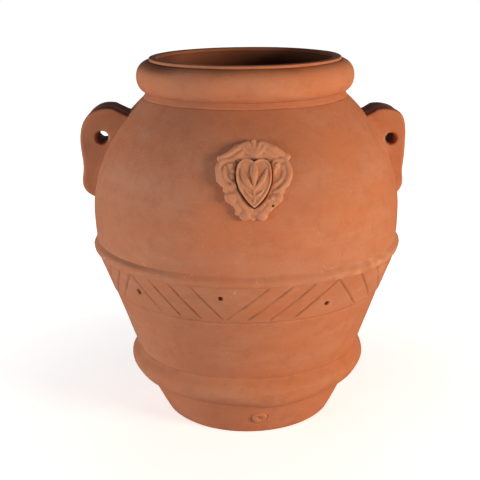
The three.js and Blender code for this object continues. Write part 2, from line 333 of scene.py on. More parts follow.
# The upper face keeps the marks of the fist that pressed it down.
for vert in slab_bm.verts:
    if vert.co.z > slab_low.z + 3 * MM and vert.co.xy.length < slab_high.x - 3 * MM:
        vert.co.z += 1.6 * MM * noise.noise(vert.co * 45)
floor_slab = piece("floor_slab", slab_bm, board_clay)
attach(floor_slab, "root")
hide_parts("base_slab")


# ------------ foot
# The foot is the first ring of coils, drawn up round the floor slab and flaring to the first
# joint. It is smoothed outside with a wet rag; the inside keeps the finger ridges.

wall_clay = fired_clay(
    "wall_clay", (0.505, 0.2, 0.108, 1), (0.56, 0.20, 0.095, 1), (0.56, 0.27, 0.17, 1),
    clouds=0.8, smears=0.5, grits=0.8, coarse=0.9, bloom=0.5, painted_shade=0.8, painted_highlight=0.3, bump=0.4,
)

WALL = 22  # thickness of the coil-built wall, in millimetres
LAP = 8  # rise of a slanting joint from the outside to the inside
GAP = 0.3

FOOT_SIDE = (152, 20)
FOOT_TOP = (174, 65)
FOOT_JOINT = (179.5, 91)


def finger_ridges(bm, depth=1.1, pitch=17.0):
    """Ridges that the fingers left inside, climbing the wall as a slow screw."""
    for v in bm.verts:
        inwards = v.normal.x * v.co.x + v.normal.y * v.co.y < -0.3 * v.co.xy.length
        if not inwards:
            continue
        turn = math.atan2(v.co.y, v.co.x) / math.tau
        wave = math.sin(math.tau * (v.co.z / (pitch * MM) + turn))
        patchy = 0.6 + 0.8 * noise.noise(v.co * 12)
        v.co += v.co.xy.normalized().to_3d() * depth * patchy * wave * MM
    return bm


foot_bm = turned(
    ring(
        (139, 0), ((141, 0), (143, 3)), ((148, 12), FOOT_SIDE), ((162, 40), FOOT_TOP), (FOOT_JOINT,),
        ((FOOT_JOINT[0] - WALL, FOOT_JOINT[1] + LAP),), ((FOOT_TOP[0] - WALL, FOOT_TOP[1] + LAP),),
        ((133, 32), (117, 24)), ((117, 0),),
    )
)
foot = piece("foot", settled(finger_ridges(foot_bm)), wall_clay)
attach(foot, "root")
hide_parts("foot_wall")


# ------------ lower wall
# The second stage is a straight flaring cone, coiled on top of the foot once that had stiffened,
# and scraped flat with a rib.

LOWER_FOOT = (187, 113)
LOWER_TOP = (226, 226)

lower_bm = turned(
    ring(
        (FOOT_JOINT[0], FOOT_JOINT[1] + GAP), (LOWER_FOOT,), (LOWER_TOP,),
        ((LOWER_TOP[0] - WALL, LOWER_TOP[1] + LAP),), ((LOWER_FOOT[0] - WALL, LOWER_FOOT[1]),),
        ((FOOT_JOINT[0] - WALL, FOOT_JOINT[1] + LAP + GAP),),
    )
)
lower_stage = piece("lower_stage", settled(finger_ridges(lower_bm)), wall_clay)
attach(lower_stage, "root")
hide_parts("lower_wall")


# ------------ frieze
# The third stage stands a little proud of the second. While it was leather-hard a zigzag was
# scored into it with a pointed stick, four strokes one way and four the other, with a prick of
# the stick's blunt end between two groups.

FRIEZE_FOOT = (228.3, 227.5)
FRIEZE_TOP = (252.4, 291.5)
BELLY_JOINT = (250.5, 297)

STROKE_WIDTH = 2.4  # half the width of a stroke, in millimetres
STROKE_DEPTH = 1.7
STROKE_LOW = 230
STROKE_HIGH = 290
PRICK_RADIUS = 4.3
PRICK_DEPTH = 5

# Each group's edge in degrees round the jar from the front, how far its strokes lean, and the
# place of its prick in degrees and in height. The potter spaced them by eye.
GROUPS = [
    (-48, 11, -47, 258), (-11.5, 16, -12, 271), (30.5, 14, 27.8, 249), (75, 14, 73, 268),
    (108, 14, 108, 251), (142, 12, 142, 270), (175, 14, 174, 252), (209, 14, 209, 269),
    (243, 13, 243, 253), (277, 14, 278, 270),
]


def on_frieze(degrees, z):
    """A point of the frieze's face, in metres."""
    share = (z - FRIEZE_FOOT[1]) / (FRIEZE_TOP[1] - FRIEZE_FOOT[1])
    radius = FRIEZE_FOOT[0] + share * (FRIEZE_TOP[0] - FRIEZE_FOOT[0])
    angle = math.radians(degrees)
    return Vector((radius * math.sin(angle), -radius * math.cos(angle), z)) * MM


def step(low, high, value):
    """From 0 at low to 1 at high, smoothly."""
    t = min(max((value - low) / (high - low), 0), 1)
    return t * t * (3 - 2 * t)


def outer_faces(bm, centre, reach):
    """Faces of the outer side within reach of a point."""
    return [
        f for f in bm.faces
        if f.normal.dot(Vector((f.calc_center_median().x, f.calc_center_median().y, 0))) > 0
        and (f.calc_center_median() - centre).length < reach
    ]


def prick(bm, deep, degrees, z, long=1.0):
    """A round hole pressed in with a blunt end, with a low lip of clay pushed up round it."""
    centre = on_frieze(degrees, z)
    near = outer_faces(bm, centre, 9 * MM)
    edges = {e for f in near for e in f.edges}
    cut = bmesh.ops.subdivide_edges(bm, edges=list(edges), cuts=5, use_grid_fill=True)
    verts = {v for g in cut["geom"] if isinstance(g, bmesh.types.BMFace) for v in g.verts}
    verts |= {v for f in near if f.is_valid for v in f.verts}
    for v in verts:
        off = (v.co - centre) / MM
        off.z /= long
        away = off.length / PRICK_RADIUS
        if away < 1.05:
            pit = PRICK_DEPTH * (1 - away ** 3)
            v[deep] = max(v[deep], pit)
        elif away < 1.8:
            v[deep] = min(v[deep], -0.35 * math.sin((away - 1.05) / 0.75 * math.pi))


def score(bm, deep, low_degrees, high_degrees, low=STROKE_LOW, high=STROKE_HIGH):
    """One stroke of the stick: the skin is split along it, so that its edges stay crisp."""
    start = on_frieze(low_degrees, low)
    end = on_frieze(high_degrees, high)
    along = (end - start).normalized()
    outwards = Vector((start.x + end.x, start.y + end.y, 0)).normalized()
    across = along.cross(outwards).normalized()
    length = (end - start).length / MM
    faces = []
    for f in bm.faces:
        middle = f.calc_center_median()
        if f.normal.dot(outwards) < 0.4:
            continue
        off = middle - start
        if abs(off.dot(across)) < 7 * MM and -3 * MM < off.dot(along) < (length + 3) * MM:
            faces.append(f)
    geom = list({v for f in faces for v in f.verts} | {e for f in faces for e in f.edges}) + faces
    for side in (-1.7, -1, -0.5, 0, 0.5, 1, 1.7):
        cut = bmesh.ops.bisect_plane(
            bm, geom=geom, dist=1e-7,
            plane_co=start + across * side * STROKE_WIDTH * MM, plane_no=across,
        )
        geom = cut["geom"]
    for v in geom:
        if not isinstance(v, bmesh.types.BMVert):
            continue
        off = (v.co - start) / MM
        side = abs(off.dot(across)) / STROKE_WIDTH
        run = off.dot(along)
        fade = step(-1.5, 4, run) * step(-1.5, 4, length - run)
        fade *= 0.85 + 0.5 * noise.noise(v.co * 60)
        if side < 1:
            groove = STROKE_DEPTH * math.cos(side * math.pi / 2) ** 0.8 * fade
            v[deep] = max(v[deep], groove)
        elif side < 1.8 and v[deep] <= 0:
            v[deep] = min(v[deep], -0.3 * math.sin((side - 1) / 0.8 * math.pi) * fade)


def relief_of(bm):
    """The "relief" attribute, that the clay's colour reads: below nothing is painted shade, above nothing a
    painted highlight.
    """
    return bm.verts.layers.float.get("relief") or bm.verts.layers.float.new("relief")


frieze_bm = turned(
    ring(
        (LOWER_TOP[0], LOWER_TOP[1] + GAP), ((228, LOWER_TOP[1] + GAP), FRIEZE_FOOT), (FRIEZE_TOP,),
        ((BELLY_JOINT[0], BELLY_JOINT[1] - GAP),),
        ((BELLY_JOINT[0] - WALL, BELLY_JOINT[1] + LAP - GAP),),
        ((FRIEZE_FOOT[0] - WALL, LOWER_TOP[1] + LAP + GAP),),
        ((LOWER_TOP[0] - WALL, LOWER_TOP[1] + LAP + GAP),),
    )
)
deep = frieze_bm.verts.layers.float.new("deep")
for index, (_, _, prick_place, prick_height) in enumerate(GROUPS):
    prick(frieze_bm, deep, prick_place, prick_height, long=1.5 if index == 0 else 1.0)
for index, (edge, lean, _, _) in enumerate(GROUPS):
    following = GROUPS[(index + 1) % len(GROUPS)][0] + (360 if index + 1 == len(GROUPS) else 0)
    pitch = (following - edge - lean) / 3
    for number in range(4):
        wander = 1.0 * noise.noise(Vector((index * 1.7, number * 2.3, 4)))
        left = edge + number * pitch + wander
        right = left + lean
        top = STROKE_HIGH + 2 * noise.noise(Vector((index * 3.1, number * 1.9, 9)))
        foot_z = STROKE_LOW + 3 * abs(noise.noise(Vector((index * 2.2, number * 3.7, 2))))
        if index % 2 == 0:
            score(frieze_bm, deep, right, left, foot_z, top)
        else:
            score(frieze_bm, deep, left, right, foot_z, top)
# Painted shade in the strokes and pricks, darker where deeper, and a painted highlight on the low lips of
# clay pushed up beside them.
relief = relief_of(frieze_bm)
for vert in frieze_bm.verts:
    if vert[deep]:
        vert[relief] = -0.5 * vert[deep] / STROKE_DEPTH
        vert.co -= Vector((vert.co.x, vert.co.y, 0)).normalized() * vert[deep] * MM
frieze_bm.normal_update()
frieze = piece("frieze", settled(finger_ridges(frieze_bm)), wall_clay)
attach(frieze, "root")
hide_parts("frieze_band")


# ------------ belly and shoulder
# The fourth stage carries the jar's widest part and closes in to the neck. It is beaten round
# with a paddle and smoothed, so it shows slow facets and the sweep of a wet hand.

BELLY_FOOT = (250, 305)
BELLY_WIDEST = (253, 350)
SHOULDER_TOP = (165, 538)
MOUTH = 142

def painted_inner_shade(bm, radius, share=0.6):
    """Painted shade on the side that faces the axis, in the "relief" attribute."""
    relief = relief_of(bm)
    for v in bm.verts:
        inwards = -(v.normal.x * v.co.x + v.normal.y * v.co.y) / max(v.co.xy.length, MM)
        if inwards > 0.2 and v.co.xy.length < radius * MM:
            v[relief] = min(v[relief], -share * (0.8 + 0.5 * noise.noise(v.co * 11)))
    return bm


shoulder_face = outline(
    BELLY_JOINT, ((250, 298), BELLY_FOOT), ((252.8, 325), BELLY_WIDEST),
    ((253, 420.5), (221, 488), SHOULDER_TOP), every=4.2,
)
shoulder_bm = turned(
    shoulder_face + outline(
        SHOULDER_TOP, ((MOUTH, SHOULDER_TOP[1]),), ((MOUTH, SHOULDER_TOP[1] - 6),),
        ((203, 476), (BELLY_WIDEST[0] - WALL, 412), (BELLY_WIDEST[0] - WALL, BELLY_WIDEST[1])),
        ((BELLY_JOINT[0] - WALL, BELLY_JOINT[1] + LAP),), (BELLY_JOINT,), every=6,
    )[1:-1]
)
# Painted shade on the inside of the shoulder.
shoulder = piece("shoulder", settled(painted_inner_shade(finger_ridges(shoulder_bm), 235)), wall_clay)
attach(shoulder, "root")
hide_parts("shoulder_wall")


# ------------ cordons
# Rolls of soft clay pressed over the two joints that show, thick above the foot and thin at the
# belly, and run round with a wet thumb that left them a little uneven.

roll_clay = fired_clay(
    "roll_clay", (0.52, 0.21, 0.112, 1), (0.58, 0.205, 0.095, 1), (0.58, 0.29, 0.18, 1),
    clouds=0.7, smears=0.4, grits=0.6, coarse=1.0, bloom=0.6, painted_shade=0.85, painted_highlight=0.5, bump=0.45,
)


def thumbed(bm, amount=0.9, spacing=36.0, seed=0.0):
    """The slow bulges of a roll that a thumb was run along."""
    for v in bm.verts:
        angle = math.atan2(v.co.y, v.co.x)
        round_the_jar = Vector((math.cos(angle), math.sin(angle), 0)) * v.co.xy.length / (spacing * MM)
        bulge = noise.noise(round_the_jar + Vector((seed, seed, 0)))
        drift = noise.noise(round_the_jar * 0.6 + Vector((0, seed, 9)))
        v.co += v.normal * amount * bulge * MM
        v.co.z += amount * 0.8 * drift * MM
    return bm


LOWER_CREST = (200.5, 96)
BELLY_CREST = (256.3, 297.5)

lower_cordon_bm = turned(
    ring(
        (FOOT_TOP[0] + GAP, FOOT_TOP[1]), ((182, 67), (199, 81), LOWER_CREST),
        ((LOWER_CREST[0], 106), (193.5, 109), (LOWER_FOOT[0] + 1.4, LOWER_FOOT[1] + 7)),
        ((LOWER_FOOT[0] - 3, LOWER_FOOT[1] - 2),), ((FOOT_JOINT[0] - 3, FOOT_JOINT[1]),),
        every=2.6,
    )
)
thumbed(lower_cordon_bm, 0.8, 42, 3)
# Right of the front the roll sagged over the foot before it dried.
for vert in lower_cordon_bm.verts:
    degrees = math.degrees(math.atan2(vert.co.x, -vert.co.y))
    sag = math.exp(-((degrees - 14) / 17) ** 2) * step(92, 72, vert.co.z / MM)
    vert.co += vert.co.xy.normalized().to_3d() * 3 * sag * MM
    vert.co.z -= 4.5 * sag * MM
lower_cordon = piece("foot_cordon", settled(lower_cordon_bm), roll_clay)
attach(lower_cordon, "root")
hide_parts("lower_cordon")

belly_cordon_bm = turned(
    outline(
        (FRIEZE_TOP[0] + 0.2, FRIEZE_TOP[1] - 1.5), ((BELLY_CREST[0] - 0.6, 291), BELLY_CREST),
        ((BELLY_CREST[0], 302), (252, 304), (249.7, 309.5)),
        ((BELLY_FOOT[0] - 3, BELLY_FOOT[1] - 2),), ((FRIEZE_TOP[0] - 3, FRIEZE_TOP[1]),),
        ((FRIEZE_TOP[0] + 0.2, FRIEZE_TOP[1] - 2),), every=1.6,
    )[:-1]
)
thumbed(belly_cordon_bm, 0.55, 30, 7)
# Painted shade in the crease above it on the left, away from the key light, and a painted highlight on its
# crest on the right, where the key light falls.
marks = relief_of(belly_cordon_bm)
for vert in belly_cordon_bm.verts:
    degrees = math.degrees(math.atan2(vert.co.x, -vert.co.y))
    crease_shade = math.exp(-((degrees + 52) / 28) ** 2) * step(299, 305, vert.co.z / MM)
    crest_highlight = math.exp(-((degrees - 42) / 22) ** 2) * (0.6 + noise.noise(vert.co * 70))
    vert[marks] = 0.8 * crest_highlight - 0.45 * crease_shade
belly_cordon = piece("waist_cordon", settled(belly_cordon_bm), roll_clay)
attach(belly_cordon, "root")
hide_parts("belly_cordon")


# ------------ neck, collar and lip
# A short upright neck stands on the shoulder, sealed by a thin fillet. A thick roll is wrapped
# round it as the collar, and a thin ring finishes the mouth. They are turned with a wet sponge.

NECK = 155
COLLAR_FOOT = 547.6
COLLAR_CREST = (176.5, 570)
COLLAR_TOP = 595
LIP = 155.5
HEIGHT = 600

neck_bm = turned(
    ring(
        (NECK, SHOULDER_TOP[1] + GAP), ((NECK, COLLAR_TOP - 1),), ((MOUTH, COLLAR_TOP - 1),),
        ((MOUTH, SHOULDER_TOP[1] + GAP),),
    )
)
# Painted shade on the inside of the neck.
neck = piece("neck", settled(painted_inner_shade(neck_bm, 145, 1.0)), wall_clay)
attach(neck, "root")
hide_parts("neck_wall")

fillet_bm = turned(
    ring(
        (SHOULDER_TOP[0] + 2, SHOULDER_TOP[1] - 3.5), ((165, 540), (162.5, 542), (159, COLLAR_FOOT - GAP)),
        ((NECK + GAP, COLLAR_FOOT - GAP),), ((NECK + GAP, SHOULDER_TOP[1] - 1),),
        every=1.4,
    )
)
fillet = piece("fillet", settled(thumbed(fillet_bm, 0.35, 24, 5)), roll_clay)
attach(fillet, "root")
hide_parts("neck_fillet")


def painted_top_shade(bm, share, steep=0.3):
    """Painted shade on what faces up more than steep, in the "relief" attribute, where -1 is black."""
    relief = relief_of(bm)
    bm.normal_update()
    for v in bm.verts:
        patchy = 0.75 + 0.7 * noise.noise(v.co * 13)
        v[relief] = -share * step(steep, 0.95, v.normal.z) * patchy
    return bm


collar_bm = turned(
    ring(
        (161.5, COLLAR_FOOT - 1.5), ((171, 549), (COLLAR_CREST[0], 558), COLLAR_CREST),
        ((COLLAR_CREST[0], 584), (168, COLLAR_TOP - 2), (157, COLLAR_TOP)),
        ((NECK + GAP, COLLAR_TOP - 1),), ((NECK + GAP, COLLAR_FOOT),), every=2.4,
    )
)
# The collar's upper faces get painted shade.
painted_top_shade(thumbed(collar_bm, 0.45, 60, 1), 0.85, 0.05)
# The shade painted on the collar's upper faces is strongest on the left, away from the key light, and fades
# out towards the right.
top_shade = relief_of(collar_bm)
for vert in collar_bm.verts:
    vert[top_shade] *= 0.5 - 0.5 * vert.co.x / vert.co.xy.length
collar = piece("collar", settled(collar_bm), roll_clay)
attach(collar, "root")
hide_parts("collar_roll")

lip_bm = turned(
    ring(
        (LIP - 1, COLLAR_TOP - 0.5), ((LIP, COLLAR_TOP + 0.6),), ((LIP, HEIGHT - 2.5),),
        ((LIP, HEIGHT), (LIP - 3, HEIGHT)), ((MOUTH + 4, HEIGHT),),
        ((MOUTH, HEIGHT), (MOUTH, HEIGHT - 4)), ((MOUTH, COLLAR_TOP - 1 + GAP),), every=1.4,
    )
)
# Painted shade on the lip's upper faces and on its inside.
lip = piece("lip", settled(painted_inner_shade(painted_top_shade(thumbed(lip_bm, 0.3, 70, 8), 0.75), 145)), roll_clay)
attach(lip, "root")
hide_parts("lip_ring")


# ------------ ears
# Each ear is a wide strap folded down on itself, rounded with wet hands, pierced from front to
# back with a finger, and luted to the shoulder with a smear of slip.

EAR_HALF = 36  # half the strap's width at the finger hole
EAR_FOOT_HALF = 27


def shoulder_radius(z):
    """The radius of the shoulder's face at a height, in millimetres."""
    for a, b in zip(shoulder_face, shoulder_face[1:]):
        if a.y <= z <= b.y:
            return a.x + (b.x - a.x) * (z - a.y) / (b.y - a.y)
    return shoulder_face[0].x if z < shoulder_face[0].y else shoulder_face[-1].x


def shaped(*lumps):
    """What the first object's modifiers make of it, as a bmesh. All the objects are used up."""
    shape = lumps[0].evaluated_get(bpy.context.evaluated_depsgraph_get())
    out = bmesh.new()
    out.from_mesh(shape.to_mesh())
    shape.to_mesh_clear()
    for used in lumps:
        data = used.data
        bpy.data.objects.remove(used)
        bpy.data.meshes.remove(data)
    return out


def kneaded(bm, voxel, rounds):
    """One body of soft clay from parts that overlap: no seams, with small hollows filled."""
    mesh = bpy.data.meshes.new("kneading")
    bm.to_mesh(mesh)
    bm.free()
    lump = put_down("kneading", mesh)
    remesh = lump.modifiers.new("remesh", "REMESH")
    remesh.mode = "VOXEL"
    remesh.voxel_size = voxel * MM
    out = shaped(lump)
    for _ in range(rounds):
        bmesh.ops.smooth_vert(
            out, verts=out.verts, factor=0.5, use_axis_x=True, use_axis_y=True, use_axis_z=True,
        )
    out.normal_update()
    return out


def ear(out, up, corner):
    """The strap of an ear at the +X side, moved out and up, with its top corner filled out."""
    bm = bmesh.new()
    edge = ring(
        (205, 520), ((212, 524),),
        ((228, 527), (245 + 0.9 * corner, 523 + 0.3 * corner), (256 + 0.6 * corner, 509.5 + 0.5 * corner)),
        ((265 + 0.3 * corner, 498.5 + 0.7 * corner), (268.2 + 0.1 * corner, 487), (268, 471)),
        ((267.8, 452), (264.8 + 0.3 * corner, 443), (265.2 + 0.2 * corner, 428)),
        ((265.5, 415), (269.5, 407), (268, 397)), ((266, 386), (258, 380), (249, 377)),
        ((233, 372),), ((205, 460),), ((175, 505),), every=3,
    )
    verts = [bm.verts.new((p.x + out * step(200, 250, p.x), -EAR_HALF, p.y + up)) for p in edge]
    face = bm.faces.new(verts)
    extruded = bmesh.ops.extrude_face_region(bm, geom=[face])["geom"]
    far = [v for v in extruded if isinstance(v, bmesh.types.BMVert)]
    bmesh.ops.translate(bm, verts=far, vec=(0, 2 * EAR_HALF, 0))
    bmesh.ops.recalc_face_normals(bm, faces=bm.faces)
    rims = [e for e in bm.edges if len({round(v.co.y) for v in e.verts}) == 1]
    bmesh.ops.bevel(
        bm, geom=rims, offset=7, offset_type="OFFSET", affect="EDGES", segments=4, profile=0.5,
        material=-1, clamp_overlap=True,
    )
    bmesh.ops.scale(bm, vec=(MM, MM, MM), verts=bm.verts)
    return kneaded(bm, 1.6, 3)


def cut_by(bm, tool):
    """The first solid with the second cut out of it."""
    made = []
    for name, solid in (("clay", bm), ("tool", tool)):
        mesh = bpy.data.meshes.new(name)
        solid.to_mesh(mesh)
        solid.free()
        made.append(put_down(name, mesh))
    cut = made[0].modifiers.new("cut", "BOOLEAN")
    cut.operation = "DIFFERENCE"
    cut.solver = "MANIFOLD"
    cut.object = made[1]
    return shaped(*made)


def finger(hole, radius):
    """A straight bar along Y through a hole's middle, that flares out past both of its mouths."""
    bm = bmesh.new()
    bmesh.ops.create_circle(bm, cap_ends=False, radius=1, segments=48)
    flare = ((60, 4), (36, 3), (34, 1.4), (30, 0))
    stations = [(-y, radius + more) for y, more in flare]
    stations += [(y, radius + more) for y, more in reversed(flare)]
    for v in bm.verts:
        v.co = Vector((v.co.x * stations[0][1], stations[0][0], v.co.y * stations[0][1])) * MM
    ring = first = bm.edges[:]
    for (_, r0), (y1, r1) in zip(stations, stations[1:]):
        extruded = bmesh.ops.extrude_edge_only(bm, edges=ring)["geom"]
        for v in extruded:
            if isinstance(v, bmesh.types.BMVert):
                v.co = Vector((v.co.x * r1 / r0, y1 * MM, v.co.z * r1 / r0))
        ring = [e for e in extruded if isinstance(e, bmesh.types.BMEdge)]
    bmesh.ops.contextual_create(bm, geom=first)
    bmesh.ops.contextual_create(bm, geom=ring)
    bmesh.ops.recalc_face_normals(bm, faces=bm.faces)
    bmesh.ops.translate(bm, verts=bm.verts, vec=hole)
    return bm


def dressed_ear(out, up, corner, hole):
    """An ear narrowed to its foot, grooved along its back and smeared on to the shoulder."""
    x, z, radius = hole
    bm = kneaded(cut_by(ear(out, up, corner), finger(Vector((x, 0, z)) * MM, radius)), 1.5, 4)
    for v in bm.verts:
        z = v.co.z / MM
        share = EAR_FOOT_HALF / EAR_HALF + (1 - EAR_FOOT_HALF / EAR_HALF) * step(380, 470, z)
        v.co.y *= share
    bm.normal_update()
    for v in bm.verts:
        y = v.co.y / MM
        facing_out = max(0, v.normal.x) + max(0, v.normal.z) * step(240, 200, v.co.x / MM)
        v.co -= v.normal * 2.2 * MM * math.exp(-(y / 13) ** 2) * min(facing_out, 1)
        v.co += v.normal * 0.7 * MM * noise.noise(v.co * 30 + Vector((out, 0, 0)))
    bm.normal_update()
    moves = []
    for v in bm.verts:
        off = v.co.xy.length / MM - shoulder_radius(v.co.z / MM)
        lift = Vector((v.normal.x * 0.2, v.normal.y, v.normal.z))
        moves.append(lift * 0.7 * MM * (1 - step(-1, 8, off)))
    for v, move in zip(bm.verts, moves):
        v.co += move
    # Painted shade on the ear's upward faces.
    return painted_top_shade(bm, 1.1, -0.2)


ear_right = piece("right_ear", settled(dressed_ear(-9, -8.5, 9, (234.5, 467, 8.3))), roll_clay)
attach(ear_right, "root")
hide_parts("ear_right")

left_bm = dressed_ear(0, 0, 0, (232, 477, 9.3))
bmesh.ops.scale(left_bm, vec=(-1, 1, 1), verts=left_bm.verts)
bmesh.ops.reverse_faces(left_bm, faces=left_bm.faces)
ear_left = piece("left_ear", settled(left_bm), roll_clay)
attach(ear_left, "root")
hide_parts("ear_left")


# ------------ medallion
# The medallion is clay pressed into a plaster mould: a cartouche of scrolls round a plain
# heart-shaped shield with a leafed sprig. It is stuck on with slip and follows the wall.

relief_clay = fired_clay(
    "relief_clay", (0.60, 0.28, 0.165, 1), (0.6, 0.245, 0.135, 1), (0.66, 0.37, 0.25, 1),
    clouds=0.5, smears=0.3, grits=0.7, coarse=1.1, bloom=0.0, painted_shade=0.62, painted_highlight=1.0, bump=0.5,
)

MEDALLION_MIDDLE = 447  # height of its middle on the wall

face_runs = [0.0]
for low_point, high_point in zip(shoulder_face, shoulder_face[1:]):
    face_runs.append(face_runs[-1] + (high_point - low_point).length)
middle_index = min(range(len(shoulder_face)), key=lambda i: abs(shoulder_face[i].y - MEDALLION_MIDDLE))
middle_run = face_runs[middle_index] + MEDALLION_MIDDLE - shoulder_face[middle_index].y


def on_shoulder(x, y, h):
    """A place x to the right of the medallion's middle, y up the wall and h off it, in metres."""
    run = middle_run + y
    i = max(i for i in range(len(face_runs) - 1) if face_runs[i] <= run)
    share = (run - face_runs[i]) / (face_runs[i + 1] - face_runs[i])
    at = shoulder_face[i].lerp(shoulder_face[i + 1], share)
    before = (shoulder_face[i + 1] - shoulder_face[i]).normalized()
    after = (shoulder_face[i + 2] - shoulder_face[i + 1]).normalized()
    along = before.lerp(after, share).normalized()
    radius = at.x + along.y * h
    z = at.y - along.x * h
    angle = x / at.x
    return Vector((radius * math.sin(angle), -radius * math.cos(angle), z)) * MM


def clay_rolls():
    """A set of rolls of clay, as a curve with a round section whose width varies along it."""
    rolls = bpy.data.curves.new("rolls", "CURVE")
    rolls.dimensions = "3D"
    rolls.bevel_depth = 1
    rolls.bevel_resolution = 5
    rolls.use_fill_caps = True
    return rolls


def roll(rolls, points, widths, height=4.0):
    """A roll laid along a line of (x, y) points, with its own width at each, rounded off at its ends."""
    line = [Vector(p) for p in points]
    spine = []
    for i in range(len(line) - 1):
        p0 = line[max(i - 1, 0)]
        p1, p2 = line[i], line[i + 1]
        p3 = line[min(i + 2, len(line) - 1)]
        for k in range(6):
            t = k / 6
            place = 0.5 * (
                2 * p1 + (p2 - p0) * t + (2 * p0 - 5 * p1 + 4 * p2 - p3) * t * t
                + (3 * p1 - p0 - 3 * p2 + p3) * t ** 3
            )
            spine.append((place, widths[i] + (widths[i + 1] - widths[i]) * t))
    spine.append((line[-1], widths[-1]))
    for tip, inner in ((spine[0], spine[1]), (spine[-1], spine[-2])):
        out = (tip[0] - inner[0]).normalized() * tip[1] * 0.5
        nose = [(tip[0] + out * 0.5, tip[1] * 0.87), (tip[0] + out * 0.9, tip[1] * 0.43)]
        spine = spine + nose if tip is spine[-1] else nose[::-1] + spine
    spline = rolls.splines.new("POLY")
    spline.points.add(len(spine) - 1)
    for knot, (place, width) in zip(spline.points, spine):
        knot.co = (place.x, place.y, height, 1)
        knot.radius = width / 2


def scroll(rolls, centre, start, turns, size, width, height=4.0):
    """A volute: a roll that winds in to its middle."""
    count = max(6, int(abs(turns) * 10))
    points = []
    widths = []
    for i in range(count + 1):
        t = i / count
        radius = size * (1 - 0.85 * t)
        angle = math.radians(start) + turns * math.tau * t
        points.append((centre[0] + radius * math.cos(angle), centre[1] + radius * math.sin(angle)))
        widths.append(width * (1 - 0.25 * t))
    roll(rolls, points, widths, height)


def bead(bm, centre, radius, height=3.0):
    """A ball of clay."""
    blob = bmesh.ops.create_uvsphere(bm, u_segments=20, v_segments=12, radius=radius)
    bmesh.ops.translate(bm, vec=(centre[0], centre[1], height), verts=blob["verts"])


def with_rolls(bm, rolls, flat=0.75):
    """The rolls added to the rest of the relief and all of it pressed a little flat."""
    laid = put_down("rolls", rolls)
    mesh = bpy.data.meshes.new_from_object(laid.evaluated_get(bpy.context.evaluated_depsgraph_get()))
    bm.from_mesh(mesh)
    bpy.data.objects.remove(laid)
    bpy.data.meshes.remove(mesh)
    bpy.data.curves.remove(rolls)
    bmesh.ops.scale(bm, vec=(1, 1, flat), verts=bm.verts)
    return bm


def shield_edge(grow=0.0):
    """The heart-shaped outline of the shield, grown by some millimetres."""
    right = outline(
        (0, 25), ((4, 30.5), (12, 31.5), (18, 27)), ((26, 21), (27, 8), (25, -3)),
        ((22, -19), (12, -32), (0, -40)), every=1.6,
    )
    loop = right + [Vector((-p.x, p.y)) for p in reversed(right[1:-1])]
    grown = []
    for i, p in enumerate(loop):
        along = (loop[(i + 1) % len(loop)] - loop[i - 1]).normalized()
        grown.append(p + Vector((-along.y, along.x)) * grow)
    return grown


def plate(bm, edge, low, high):
    """A flat plate of clay with the given edge."""
    verts = [bm.verts.new((p.x, p.y, low)) for p in edge]
    face = bm.faces.new(verts)
    extruded = bmesh.ops.extrude_face_region(bm, geom=[face])["geom"]
    top = [v for v in extruded if isinstance(v, bmesh.types.BMVert)]
    bmesh.ops.translate(bm, verts=top, vec=(0, 0, high - low))
    return top


def curvature(bm, reach, scale):
    """Fills the "relief" attribute: above nothing on crests and below nothing in hollows."""
    relief = relief_of(bm)
    value = {v: 0.0 for v in bm.verts}
    for v in bm.verts:
        if v.link_edges:
            mean = sum((e.other_vert(v).co for e in v.link_edges), Vector()) / len(v.link_edges)
            value[v] = (v.co - mean).dot(v.normal)
    for _ in range(reach):
        value = {
            v: (value[v] + sum(value[e.other_vert(v)] for e in v.link_edges)) / (1 + len(v.link_edges))
            for v in bm.verts
        }
    for v in bm.verts:
        v[relief] = max(-1.0, min(1.0, value[v] * scale))
    return bm


def moulded(bm, openings=(), voxel=0.75, rounds=2):
    """A relief made in its flat mould, softened, bent to the wall and slumped with it. An opening
    is an edge inside which the clay is cut away."""
    bmesh.ops.scale(bm, vec=(MM, MM, MM), verts=bm.verts)
    pressed = kneaded(bm, voxel, rounds)
    for opening in openings:
        punch = bmesh.new()
        plate(punch, opening, -30, 30)
        bmesh.ops.scale(punch, vec=(MM, MM, MM), verts=punch.verts)
        bmesh.ops.recalc_face_normals(punch, faces=punch.faces)
        pressed = kneaded(cut_by(pressed, punch), voxel, rounds)
    # Painted shade in the hollows and a painted highlight on the crests, by curvature.
    curvature(pressed, 3, 9000)
    for v in pressed.verts:
        x, y, h = v.co / MM
        warp = Vector((noise.noise(v.co * 40), noise.noise(v.co * 40 + Vector((7, 0, 0))), 0)) * 1.2
        wear_and_highlight = 0.5 * noise.noise(v.co * 170) + 0.7 * noise.noise(v.co * 70)
        v.co = on_shoulder(x + warp.x, y + warp.y, h + wear_and_highlight * step(0, 4, h))
    pressed.normal_update()
    return settled(pressed)


# The scrolled frame, laid out in millimetres from the medallion's middle.
FRAME_EDGE = [
    (0, 56), (8, 55), (18, 50), (32, 43), (46, 35), (46, 27), (50, 17), (50, 5), (45, -7), (38, -14),
    (40, -24), (37, -34), (27, -41), (20, -46), (14, -55), (4, -55), (-4, -56), (-16, -55),
    (-23, -47), (-28, -36), (-38, -33), (-41, -24), (-38, -14), (-45, -6), (-49, 5), (-49, 15),
    (-45, 24), (-46, 33), (-34, 41), (-18, 50), (-8, 55),
]
GROUND = 8.5  # the clay between the scrolls, before the relief is pressed flatter

